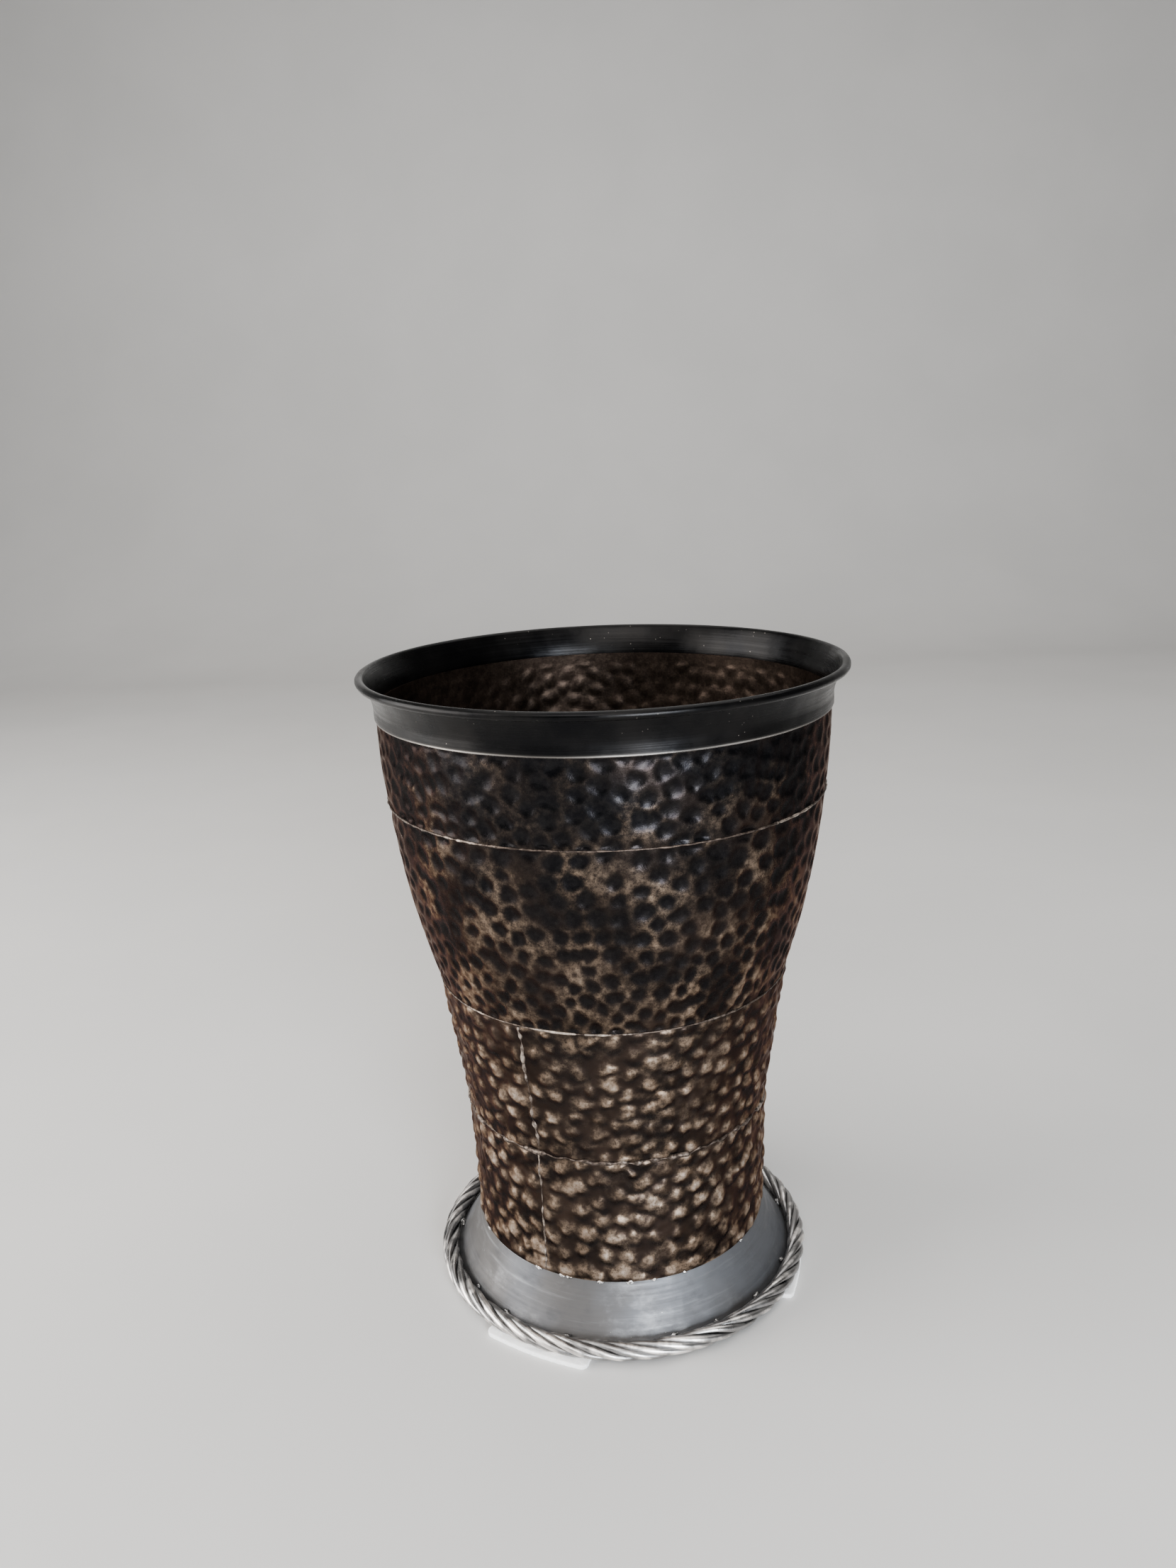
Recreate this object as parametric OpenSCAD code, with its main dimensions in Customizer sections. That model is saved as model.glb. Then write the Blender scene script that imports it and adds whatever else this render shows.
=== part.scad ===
// Hammered metal planter pot on a smooth flared foot with a twisted rope trim.
// Millimetres, +Z up. The origin is on the table, under the middle of the pot.

/* [Body profile] */
// Height of the body's lower edge above the table
body_base_z = 39; // [37:0.5:44]
// Height of the first (lowest) hammered band
band_1_h = 85; // [70:1:100]
// Height of the second hammered band
band_2_h = 91; // [75:1:105]
// Height of the third hammered band
band_3_h = 117; // [100:1:130]
// Height of the fourth hammered band up to the collar's lower edge
band_4_h = 51; // [40:1:60]
// Outer radius of the body at its lower edge
base_r = 96; // [93:0.5:97]
// Outer radius at the seam above the first band
waist_r = 98; // [96:0.5:104]
// Outer radius at the seam above the second band
middle_r = 111; // [104:0.5:116]
// Outer radius at the seam above the third band
shoulder_r = 134.5; // [124:0.5:136]
// Outer radius at the top of the fourth band
neck_r = 137.5; // [136:0.5:142]
// How far the third band swells past a straight cone
band_3_swell = 3.3; // [0:0.1:4]

/* [Sheet metal] */
// Thickness of the hammered sheet
sheet_t = 1.2; // [0.8:0.1:1.6]
// Thickness of the collar's sheet
collar_t = 1; // [0.7:0.1:1.2]

/* [Collar and rim] */
// Overlap of the collar over the fourth band
collar_lap_h = 6; // [4:0.5:8]
// Height of the flared stretch of the collar above the overlap
collar_flare_h = 17.5; // [14:0.5:24]
// How far the collar flares outwards
collar_flare = 5.5; // [3:0.5:8]
// Radius of the wire inside the rolled rim
rim_wire_r = 1.5; // [1:0.1:2]

/* [Foot] */
// Outer radius of the foot at its lower edge
foot_r = 115.2; // [113:0.2:115.4]
// How far the foot's side bows inwards from a straight cone
foot_bow = 1.5; // [0:0.1:3]
// Height of the foot's upstand inside the body
foot_lap_h = 7; // [5:0.5:9]
// Inner radius of the flat ring under the foot
base_ring_inner_r = 98; // [92:1:104]

/* [Rope trim] */
// Outer radius of the rope ring
rope_ring_r = 125; // [125:0.5:128]
// Thickness of the rope
rope_d = 11.5; // [11:0.1:11.8]
// Radius of one strand
strand_r = 2; // [1.6:0.1:2]
// Twists that a strand makes on its way round
rope_turns = 9; // [7:1:10]

/* [Solder and seams] */
// Radius of the solder bead at the waist seam
waist_bead_r = 1.2; // [0.8:0.1:1.6]
// Radius of the wires at the middle and shoulder seams
seam_wire_r = 0.8; // [0.6:0.1:1.2]
// Width of a band's upright lap joint
lap_joint_w = 3; // [2:0.2:5]
// How far a lap joint stands proud of its band
lap_joint_h = 0.7; // [0.4:0.1:1.2]
// Position of the lap joint of the two lower bands, anticlockwise from +X
lower_joint_angle = 240; // [180:1:300]
// Position of the lap joint of the two upper bands, anticlockwise from +X
upper_joint_angle = 96; // [40:1:140]

/* [Felt pads] */
// Thickness of the felt
pad_t = 3; // [2:0.5:4]
// Length of a felt strip
pad_l = 68; // [50:1:80]
// Width of a felt strip
pad_w = 22; // [16:1:24]
// How far a felt strip reaches past the rope
pad_reach = 0.5; // [0:0.5:6]

/* [Hidden] */
$fn = 96;

bronze_brown = [0.27, 0.22, 0.19];
dark_bronze = [0.16, 0.15, 0.14];
pewter = [0.55, 0.55, 0.56];
bright_pewter = [0.72, 0.71, 0.69];
solder_grey = [0.66, 0.62, 0.57];
felt_white = [0.93, 0.93, 0.92];

// The seams' heights and radii, from the body's lower edge to the collar.
seam_z = [
    body_base_z,
    body_base_z + band_1_h,
    body_base_z + band_1_h + band_2_h,
    body_base_z + band_1_h + band_2_h + band_3_h,
    body_base_z + band_1_h + band_2_h + band_3_h + band_4_h
];
seam_r = [base_r, waist_r, middle_r, shoulder_r, neck_r];
band_swell = [-0.4, -0.2, band_3_swell, 0.8];
band_steps = 8;
ring_steps = 12;
neck_z = seam_z[4];

// A band's outer radius at a share t of its height.
function band_radius(i, t) =
    seam_r[i] + (seam_r[i + 1] - seam_r[i]) * t + 4 * band_swell[i] * t * (1 - t);

// A band's outline from bottom to top, moved outwards by a distance.
function band_line(i, out) = [
    for (s = [0:band_steps])
        let (t = s / band_steps)
        [band_radius(i, t) + out, seam_z[i] + (seam_z[i + 1] - seam_z[i]) * t]
];

function reversed(points) = [for (i = [len(points) - 1:-1:0]) points[i]];

// The collar's middle line flares in a smooth curve and rolls over the rim wire.
collar_steps = 8;
collar_base_z = neck_z + collar_lap_h;
collar_mid_r = neck_r + collar_t / 2;
flare_power = 1.5;
flare_angle = atan(flare_power * collar_flare / collar_flare_h);
roll_gap = 0.1;
roll_r = rim_wire_r + roll_gap + collar_t / 2;
roll_sweep = 290;
roll_steps = 24;
rim_centre = [
    collar_mid_r + collar_flare + roll_r * cos(flare_angle),
    collar_base_z + collar_flare_h - roll_r * sin(flare_angle)
];

// A point of the collar's flare at a share t of its height, off its middle line by out.
function flare_point(t, out) =
    let (slope = flare_power * collar_flare * pow(t, flare_power - 1) / collar_flare_h)
    let (length = sqrt(1 + slope * slope))
    [
        collar_mid_r + collar_flare * pow(t, flare_power) + out / length,
        collar_base_z + collar_flare_h * t - out * slope / length
    ];

// A point of the rolled rim, turned over the wire by an angle, at a radius from the wire.
function roll_point(turn, radius) =
    let (a = 180 - flare_angle - turn)
    [rim_centre[0] + radius * cos(a), rim_centre[1] + radius * sin(a)];

// The foot's outer line from its top, inside the body's lower edge, to its lower edge.
foot_top_r = base_r - sheet_t;
base_ring_t = 1.2;
foot_bottom_z = pad_t + base_ring_t;
foot_steps = 12;
foot_sheet_run = 1.4;
function foot_radius(t) = foot_top_r + (foot_r - foot_top_r) * t - 4 * foot_bow * t * (1 - t);
function foot_line(out) = [
    for (s = [0:foot_steps])
        let (t = s / foot_steps)
        [foot_radius(t) + out, body_base_z - (body_base_z - foot_bottom_z) * t]
];

floor_z = body_base_z + foot_lap_h;
floor_r = foot_top_r - sheet_t;

// The rope's own centre line is a ring that the strands wind round.
rope_r = rope_d / 2;
rope_centre_r = rope_ring_r - rope_r;
rope_z = pad_t + rope_r;
strand_offset = rope_r - strand_r;
strand_count = 5;
strand_rings = 12;
strand_sides = 8;

// One ring of a strand's outline, at an angle round the foot.
function strand_ring(k, angle) =
    let (twist = 360 / strand_count * k - rope_turns * angle)
    let (outward = [cos(angle), sin(angle), 0])
    let (along = [-sin(angle), cos(angle), 0])
    let (up = [0, 0, 1])
    let (lift = cos(twist) * outward + sin(twist) * up)
    let (turn = -sin(twist) * outward + cos(twist) * up)
    let (run = rope_centre_r + strand_offset * cos(twist))
    let (tangent = run * along - strand_offset * rope_turns * turn)
    let (side = cross(tangent / norm(tangent), lift))
    [
        for (s = [0:strand_sides - 1])
            let (a = 360 / strand_sides * s)
            rope_centre_r * outward + rope_z * up
                + (strand_offset + strand_r * cos(a)) * lift + strand_r * sin(a) * side
    ];

// Where solder shows along the foot's upper edge and between it and the rope: angle and size.
foot_solder_marks = [[236, 1.5], [246, 1.3], [249, 1.6], [261, 1.7], [272, 1.7], [281, 1.2],
    [293, 1.3], [322, 1.5], [18, 1.4], [67, 1.5], [121, 1.6], [163, 1.3], [204, 1.4]];
rope_solder_marks = [[212, 1.5], [228, 1.8], [251, 1.6], [285, 1.7], [300, 1.6], [318, 1.8],
    [338, 1.5], [10, 1.7], [52, 1.6], [94, 1.8], [137, 1.6], [176, 1.7]];
// How far inwards and upwards each blob sits from the body's corner, or from the rope's inner side.
foot_solder_seat = [-0.4, -0.3];
rope_solder_seat = [-1.2, 1];
small_sides = 24;
base_ring_lip = 0.2;

// Where the felt strips lie: angle, turn about their own middle, and shift inwards.
pad_places = [[242.5, 0, 0], [343, 4, 2], [62, -3, 1], [152, 4, 2]];
pad_bend_r = 200;
pad_corner_r = 4;
pad_corner_steps = 5;
pad_side_steps = 8;

// A rounded strip's outline, straight at first, as distance along and across it.
function pad_side(sign) = [
    for (s = [1:pad_side_steps - 1])
        [sign * (pad_l / 2 - pad_corner_r) * (1 - 2 * s / pad_side_steps), sign * pad_w / 2]
];
function pad_corner(sx, sy, start) = [
    for (s = [0:pad_corner_steps])
        let (a = start + 90 * s / pad_corner_steps)
        [
            sx * (pad_l / 2 - pad_corner_r) + pad_corner_r * cos(a),
            sy * (pad_w / 2 - pad_corner_r) + pad_corner_r * sin(a)
        ]
];
pad_outline = concat(pad_corner(1, 1, 0), pad_side(1), pad_corner(-1, 1, 90),
    pad_corner(-1, -1, 180), pad_side(-1), pad_corner(1, -1, 270));

module hammered_band(i) {
    top = i == 3 ? [[neck_r, neck_z + collar_lap_h], [neck_r - sheet_t, neck_z + collar_lap_h]] : [];
    color(bronze_brown)
        rotate_extrude()
            polygon(concat(band_line(i, 0), top, reversed(band_line(i, -sheet_t))));
}

module lap_joint(i) {
    angle = i < 2 ? lower_joint_angle : upper_joint_angle;
    sweep = lap_joint_w / seam_r[i] * 180 / PI;
    color(solder_grey)
        rotate([0, 0, angle - sweep / 2])
            rotate_extrude(angle = sweep)
                polygon(concat(band_line(i, lap_joint_h), reversed(band_line(i, 0))));
}

// A ring of wire or solder along the seam under band i, whose back follows the body.
module seam_ring(i, radius) {
    step_above = (seam_z[i + 1] - seam_z[i]) / band_steps;
    step_below = (seam_z[i] - seam_z[i - 1]) / band_steps;
    lean_above = atan((band_radius(i, 1 / band_steps) - seam_r[i]) / step_above);
    lean_below = atan((seam_r[i] - band_radius(i - 1, 1 - 1 / band_steps)) / step_below);
    first = -90 - lean_below;
    sweep = 180 + lean_below - lean_above;
    front = [
        for (s = [0:ring_steps])
            let (a = first + sweep * s / ring_steps)
            [seam_r[i] + radius * cos(a), seam_z[i] + radius * sin(a)]
    ];
    color(solder_grey)
        rotate_extrude()
            polygon(concat(front, [[seam_r[i], seam_z[i]]]));
}

module waist_solder_bead() {
    seam_ring(1, waist_bead_r);
}

module middle_seam_wire() {
    seam_ring(2, seam_wire_r);
}

module shoulder_seam_wire() {
    seam_ring(3, seam_wire_r);
}

module collar() {
    half = collar_t / 2;
    lap_outer = [[neck_r + collar_t, neck_z]];
    flare_outer = [for (s = [0:collar_steps]) flare_point(s / collar_steps, half)];
    flare_inner = [for (s = [0:collar_steps]) flare_point(s / collar_steps, -half)];
    roll_inside = [for (s = [1:roll_steps]) roll_point(roll_sweep * s / roll_steps, roll_r - half)];
    roll_outside = [for (s = [0:roll_steps]) roll_point(roll_sweep * s / roll_steps, roll_r + half)];
    color(dark_bronze)
        rotate_extrude()
            polygon(concat(lap_outer, flare_outer, roll_inside, reversed(roll_outside),
                reversed(flare_inner), [[neck_r, neck_z]]));
}

module rim_wire() {
    color(dark_bronze)
        rotate_extrude()
            translate(rim_centre)
                circle(r = rim_wire_r, $fn = small_sides);
}

module floor_plate() {
    color(dark_bronze)
        translate([0, 0, floor_z - sheet_t])
            cylinder(h = sheet_t, r = floor_r);
}

// A fillet of solder that seals the floor to the wall, inside the pot.
module floor_solder() {
    fillet = 3;
    wall_low = band_radius(0, foot_lap_h / band_1_h) - sheet_t;
    wall_high = band_radius(0, (foot_lap_h + fillet) / band_1_h) - sheet_t;
    color(solder_grey)
        rotate_extrude()
            polygon([[floor_r - fillet / 2, floor_z], [wall_low, floor_z], [wall_high, floor_z + fillet]]);
}

module foot_skirt() {
    upstand = [[floor_r, floor_z], [foot_top_r, floor_z]];
    inner_line = reversed(foot_line(-foot_sheet_run));
    color(pewter)
        rotate_extrude()
            polygon(concat(upstand, foot_line(0), inner_line));
}

module foot_base_ring() {
    color(pewter)
        translate([0, 0, pad_t])
            difference() {
                cylinder(h = base_ring_t, r = foot_r + base_ring_lip);
                translate([0, 0, -1])
                    cylinder(h = base_ring_t + 2, r = base_ring_inner_r);
            }
}

// Blobs of solder in the corner under the body's lower edge, fused to the body and the foot.
module foot_solder() {
    color(solder_grey)
        for (mark = foot_solder_marks)
            rotate([0, 0, mark[0]])
                translate([base_r + foot_solder_seat[0], 0, body_base_z + foot_solder_seat[1]])
                    sphere(r = mark[1], $fn = small_sides);
}

module rope_strand(k) {
    rings = rope_turns * strand_rings;
    points = [
        for (i = [0:rings - 1])
            for (p = strand_ring(k, 360 * i / rings)) p
    ];
    faces = [
        for (i = [0:rings - 1])
            for (s = [0:strand_sides - 1])
                let (next_i = (i + 1) % rings)
                let (next_s = (s + 1) % strand_sides)
                let (a = i * strand_sides + s)
                let (b = i * strand_sides + next_s)
                let (c = next_i * strand_sides + next_s)
                let (d = next_i * strand_sides + s)
                for (face = [[a, b, c], [a, c, d]]) face
    ];
    color(bright_pewter)
        polyhedron(points = points, faces = faces);
}

// Blobs of solder that hold the rope to the foot.
module rope_solder() {
    color(solder_grey)
        for (mark = rope_solder_marks)
            rotate([0, 0, mark[0]])
                translate([rope_centre_r - rope_r + rope_solder_seat[0], 0, rope_z + rope_solder_seat[1]])
                    sphere(r = mark[1], $fn = small_sides);
}

module felt_pad(k) {
    place = pad_places[k];
    middle_r = rope_ring_r + pad_reach - pad_w / 2 - place[2];
    bent = [
        for (p = pad_outline)
            let (a = p[0] / pad_bend_r * 180 / PI)
            [(pad_bend_r + p[1]) * cos(a) - pad_bend_r, (pad_bend_r + p[1]) * sin(a)]
    ];
    color(felt_white)
        rotate([0, 0, place[0]])
            translate([middle_r, 0, 0])
                rotate([0, 0, place[1]])
                    linear_extrude(height = pad_t)
                        polygon(bent);
}

hammered_band(0);  // hammered_band_1
hammered_band(1);  // hammered_band_2
hammered_band(2);  // hammered_band_3
hammered_band(3);  // hammered_band_4
lap_joint(0);  // lap_joint_1
lap_joint(1);  // lap_joint_2
lap_joint(2);  // lap_joint_3
lap_joint(3);  // lap_joint_4
waist_solder_bead();
middle_seam_wire();
shoulder_seam_wire();
collar();
rim_wire();
floor_plate();
floor_solder();
foot_skirt();
foot_base_ring();
foot_solder();
rope_strand(0);  // rope_strand_1
rope_strand(1);  // rope_strand_2
rope_strand(2);  // rope_strand_3
rope_strand(3);  // rope_strand_4
rope_strand(4);  // rope_strand_5
rope_solder();
felt_pad(0);  // felt_pad_1
felt_pad(1);  // felt_pad_2
felt_pad(2);  // felt_pad_3
felt_pad(3);  // felt_pad_4
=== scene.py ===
"""Looks of a hammered metal planter pot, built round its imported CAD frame.

Lengths are in metres. Each CAD node that shows gives way to a detailed mesh in the same place.
"""

import math

import bmesh
import bpy
import numpy as np
from mathutils import Matrix, Vector, noise


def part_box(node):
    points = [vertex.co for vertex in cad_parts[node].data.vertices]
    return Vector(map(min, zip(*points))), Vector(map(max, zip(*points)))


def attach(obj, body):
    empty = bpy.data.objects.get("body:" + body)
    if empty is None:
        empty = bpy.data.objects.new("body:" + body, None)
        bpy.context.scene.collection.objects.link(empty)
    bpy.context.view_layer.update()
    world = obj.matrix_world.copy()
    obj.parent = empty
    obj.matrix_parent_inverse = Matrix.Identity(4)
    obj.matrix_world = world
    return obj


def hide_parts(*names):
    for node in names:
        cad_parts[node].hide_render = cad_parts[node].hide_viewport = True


MM = 0.001
BODY = "root"
TURN = 2 * math.pi

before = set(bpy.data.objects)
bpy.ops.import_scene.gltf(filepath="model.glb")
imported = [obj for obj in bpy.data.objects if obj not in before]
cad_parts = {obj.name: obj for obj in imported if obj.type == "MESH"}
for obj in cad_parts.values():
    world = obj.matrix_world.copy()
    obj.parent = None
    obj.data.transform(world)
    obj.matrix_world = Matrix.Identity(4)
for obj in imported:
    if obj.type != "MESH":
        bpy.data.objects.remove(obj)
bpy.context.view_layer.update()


# ---- The camera ----

CAMERA_PLACE = (0.0, -0.7074, 0.5311)
CAMERA_PITCH = 15.86  # degrees below the level
CAMERA_YAW = -0.92  # degrees to the right
CAMERA_ROLL = -2.38  # degrees
CAMERA_LENS = 27.03  # for a sensor 36 wide


def add_camera():
    pitch, yaw, roll = (math.radians(a) for a in (CAMERA_PITCH, CAMERA_YAW, CAMERA_ROLL))
    level = Vector((math.sin(yaw), math.cos(yaw), 0))
    ahead = level * math.cos(pitch) - Vector((0, 0, math.sin(pitch)))
    right = ahead.cross(Vector((0, 0, 1))).normalized()
    up = right.cross(ahead)
    side = math.cos(roll) * right + math.sin(roll) * up
    top = math.cos(roll) * up - math.sin(roll) * right
    data = bpy.data.cameras.new("camera")
    data.lens = CAMERA_LENS
    data.sensor_width = 36
    data.clip_start = 0.01
    camera = bpy.data.objects.new("camera", data)
    turned = Matrix((side, top, -ahead)).transposed().to_4x4()
    camera.matrix_world = Matrix.Translation(CAMERA_PLACE) @ turned
    bpy.context.collection.objects.link(camera)
    bpy.context.scene.camera = camera


# ---- Shader building ----

# The places of the Mix node's colour sockets, whose names its other sockets share.
MIX_LOW = 6
MIX_HIGH = 7
MIX_RESULT = 2


class Shader:
    """A material with one Principled shader, whose nodes are made and joined a step at a time."""

    def __init__(self, name, **settings):
        self.material = bpy.data.materials.new(name)
        self.material.use_nodes = True
        self.tree = self.material.node_tree
        self.tree.nodes.clear()
        output = self.tree.nodes.new("ShaderNodeOutputMaterial")
        self.principled = self.tree.nodes.new("ShaderNodeBsdfPrincipled")
        self.tree.links.new(self.principled.outputs[0], output.inputs[0])
        self.place = self.tree.nodes.new("ShaderNodeTexCoord").outputs["Object"]
        for socket, value in settings.items():
            self.principled.inputs[socket.replace("_", " ")].default_value = value

    def put(self, socket, value):
        """Joins a socket to another node's output, or sets it to a plain value."""
        if isinstance(value, bpy.types.NodeSocket):
            self.tree.links.new(value, socket)
        elif hasattr(value, "__len__") and len(value) == 3 and socket.type == "RGBA":
            socket.default_value = (*value, 1)
        else:
            socket.default_value = value

    def set(self, name, value):
        self.put(self.principled.inputs[name], value)

    def attribute(self, name):
        node = self.tree.nodes.new("ShaderNodeAttribute")
        node.attribute_name = name
        return node.outputs["Fac"]

    def noise(self, scale, stretch=(1, 1, 1), detail=3.0, rough=0.55):
        """Noise with its features about 1/scale metres across, squeezed along each axis by stretch."""
        mapping = self.tree.nodes.new("ShaderNodeMapping")
        self.put(mapping.inputs["Vector"], self.place)
        mapping.inputs["Scale"].default_value = stretch
        node = self.tree.nodes.new("ShaderNodeTexNoise")
        self.put(node.inputs["Vector"], mapping.outputs[0])
        node.inputs["Scale"].default_value = scale
        node.inputs["Detail"].default_value = detail
        node.inputs["Roughness"].default_value = rough
        return node.outputs["Fac"]

    def speckle(self, scale):
        """Grains about 1/scale metres across, each with its own level."""
        node = self.tree.nodes.new("ShaderNodeTexVoronoi")
        self.put(node.inputs["Vector"], self.place)
        node.inputs["Scale"].default_value = scale
        return node.outputs["Distance"]

    def calculate(self, operation, a, b):
        node = self.tree.nodes.new("ShaderNodeMath")
        node.operation = operation
        self.put(node.inputs[0], a)
        self.put(node.inputs[1], b)
        return node.outputs[0]

    def sum(self, a, b):
        return self.calculate("ADD", a, b)

    def times(self, a, b):
        return self.calculate("MULTIPLY", a, b)

    def larger(self, a, b):
        return self.calculate("MAXIMUM", a, b)

    def span(self, value, low, high, to_low=0.0, to_high=1.0):
        """Carries a value's stretch from low to high onto another, smoothly and held at both ends."""
        node = self.tree.nodes.new("ShaderNodeMapRange")
        node.interpolation_type = "SMOOTHSTEP"
        self.put(node.inputs["Value"], value)
        for name, number in zip(("From Min", "From Max", "To Min", "To Max"), (low, high, to_low, to_high)):
            self.put(node.inputs[name], number)
        return node.outputs["Result"]

    def blend(self, share, low, high):
        node = self.tree.nodes.new("ShaderNodeMix")
        node.data_type = "RGBA"
        self.put(node.inputs[0], share)
        self.put(node.inputs[MIX_LOW], low)
        self.put(node.inputs[MIX_HIGH], high)
        return node.outputs[MIX_RESULT]

    def bump(self, height, distance, strength=1.0, under=None):
        node = self.tree.nodes.new("ShaderNodeBump")
        node.inputs["Distance"].default_value = distance
        node.inputs["Strength"].default_value = strength
        self.put(node.inputs["Height"], height)
        if under is not None:
            self.put(node.inputs["Normal"], under)
        return node.outputs[0]


# ---- Materials ----


def patina_metal():
    """Dark patina, worn through to pale bronze where the mesh attribute wear is high. On the bands, wear
    also carries a painted highlight on the knobs' upper sides and a painted sheen in the dents.

    The attribute tone turns it from glossy black, at 0, to satin brown, at 1. It also carries painted
    shade: dark crescents under the knobs, and a darkening over the upper bands.
    """
    s = Shader("hammered_patina", Metallic=0.85, Specular_IOR_Level=0.3)
    # The warm specular tint gives the sides a reddish-brown cast: partly the bronze's own edge colour,
    # partly a painted reflection of warm brown surroundings.
    s.set("Specular Tint", (0.42, 0.30, 0.24))
    tone = s.attribute("tone")
    grain = s.noise(900, detail=4, rough=0.75)
    mottle = s.noise(300, detail=5, rough=0.6)
    cloud = s.noise(34, detail=3)
    patchy = s.sum(s.span(mottle, 0.32, 0.68, 0.55, 1.25), s.span(grain, 0.35, 0.65, -0.24, 0.26))
    worn = s.larger(s.times(s.attribute("wear"), patchy), 0.0)
    black = s.blend(s.span(mottle, 0.35, 0.65), (0.0042, 0.0045, 0.0056), (0.0085, 0.0085, 0.0092))
    brown = s.blend(s.span(cloud, 0.35, 0.65), (0.0145, 0.0102, 0.0082), (0.034, 0.0225, 0.0175))
    tan = s.blend(s.span(cloud, 0.3, 0.7), (0.165, 0.115, 0.080), (0.215, 0.160, 0.118))
    pale = s.blend(s.span(cloud, 0.3, 0.7), (0.335, 0.272, 0.222), (0.425, 0.362, 0.312))
    ground = s.blend(s.span(worn, 0.0, 0.42), s.blend(tone, black, brown), tan)
    s.set("Base Color", s.blend(s.span(worn, 0.25, 1.05), ground, pale))
    gloss = s.sum(s.span(tone, 0, 1, 0.235, 0.34), s.span(grain, 0.3, 0.7, -0.03, 0.05))
    s.set("Roughness", s.sum(gloss, s.times(worn, 0.16)))
    fine = s.bump(s.noise(1400, detail=3), 0.00005)
    s.set("Normal", s.bump(s.noise(380, detail=3), 0.00012, under=fine))
    return s.material


def smooth_dark_metal():
    """Near-black satin sheet with the fine rings that spinning and wiping leave. Its near-black is partly
    the sheet's dark finish and partly painted shade.
    """
    s = Shader("collar_dark_and_painted_shade", Metallic=0.85, Specular_IOR_Level=0.2)
    rings = s.noise(6, stretch=(1, 1, 160), detail=3)
    smudge = s.noise(24, detail=4)
    fleck = s.span(s.speckle(260), 0.02, 0.10, 1, 0)
    edge = s.attribute("wear")
    # The near-black base is partly the sheet's dark finish, partly painted shade.
    base = s.blend(s.span(smudge, 0.35, 0.7), (0.0040, 0.0040, 0.0045), (0.0098, 0.0092, 0.0089))
    base = s.blend(s.times(fleck, s.span(smudge, 0.5, 0.62)), base, (0.30, 0.27, 0.24))
    s.set("Base Color", s.blend(edge, base, (0.40, 0.37, 0.34)))
    s.set("Roughness", s.sum(s.span(rings, 0.3, 0.7, 0.24, 0.34), s.span(smudge, 0.3, 0.7, -0.05, 0.08)))
    s.set("Normal", s.bump(rings, 0.00012, 0.5, under=s.bump(s.noise(90, detail=2), 0.0004, 0.35)))
    return s.material


def pewter_metal():
    """Satin grey sheet with fine broken rings round it, smudges and specks."""
    s = Shader("foot_pewter", Metallic=0.92)
    rings = s.noise(5, stretch=(1, 1, 190), detail=3)
    streaks = s.noise(16, stretch=(1, 1, 22), detail=4, rough=0.6)
    smudge = s.noise(34, stretch=(1, 1, 1.8), detail=6, rough=0.65)
    cloud = s.noise(11, detail=3)
    fleck = s.span(s.speckle(230), 0.015, 0.07, 1, 0)
    edge = s.attribute("wear")
    base = s.blend(s.span(cloud, 0.38, 0.62), (0.092, 0.088, 0.0865), (0.114, 0.117, 0.126))
    base = s.blend(s.span(smudge, 0.50, 0.74), base, (0.185, 0.185, 0.19))
    base = s.blend(s.times(s.span(smudge, 0.44, 0.28), 0.5), base, (0.065, 0.065, 0.069))
    base = s.blend(s.span(streaks, 0.56, 0.76, 0, 0.36), base, (0.23, 0.235, 0.245))
    base = s.blend(s.times(fleck, s.span(smudge, 0.5, 0.6)), base, (0.62, 0.60, 0.57))
    s.set("Base Color", s.blend(edge, base, (0.72, 0.70, 0.68)))
    gloss = s.sum(s.span(smudge, 0.3, 0.7, 0.64, 0.53), s.span(streaks, 0.4, 0.7, 0.02, -0.03))
    s.set("Roughness", s.sum(gloss, s.span(rings, 0.3, 0.7, -0.03, 0.04)))
    s.set("Normal", s.bump(rings, 0.0001, 0.4, under=s.bump(s.noise(60, detail=2), 0.0006, 0.3)))
    return s.material


def rope_metal():
    """Bright tinned wire on its crowns, dark in the grooves, where the attribute wear is low."""
    s = Shader("rope_wire", Metallic=1.0)
    smudge = s.noise(110, detail=4)
    wear = s.sum(s.attribute("wear"), s.span(smudge, 0.3, 0.7, -0.16, 0.14))
    groove = s.blend(s.span(smudge, 0.35, 0.65), (0.080, 0.080, 0.083), (0.150, 0.145, 0.140))
    body = s.blend(s.span(wear, 0.05, 0.50), groove, (0.300, 0.292, 0.288))
    silver = s.blend(s.span(smudge, 0.35, 0.7), (0.67, 0.635, 0.60), (0.96, 0.905, 0.86))
    s.set("Base Color", s.blend(s.span(wear, 0.70, 1.0), body, silver))
    s.set("Roughness", s.span(smudge, 0.3, 0.7, 0.26, 0.42))
    s.set("Normal", s.bump(s.noise(700, detail=3), 0.00009, 0.7))
    return s.material


def solder_metal():
    """Lumpy soft solder: dull brown in its hollows, bright and pale on its high spots."""
    s = Shader("solder", Metallic=0.9)
    mottle = s.noise(420, detail=4)
    high = s.span(s.sum(s.attribute("wear"), s.span(mottle, 0.3, 0.7, -0.14, 0.12)), 0.1, 0.95)
    dull = s.blend(s.span(mottle, 0.4, 0.6), (0.038, 0.028, 0.023), (0.098, 0.074, 0.060))
    s.set("Base Color", s.blend(high, dull, (0.56, 0.47, 0.395)))
    s.set("Roughness", s.span(mottle, 0.3, 0.7, 0.42, 0.56))
    s.set("Normal", s.bump(s.noise(900, detail=3), 0.0001, 0.8))
    return s.material


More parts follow.
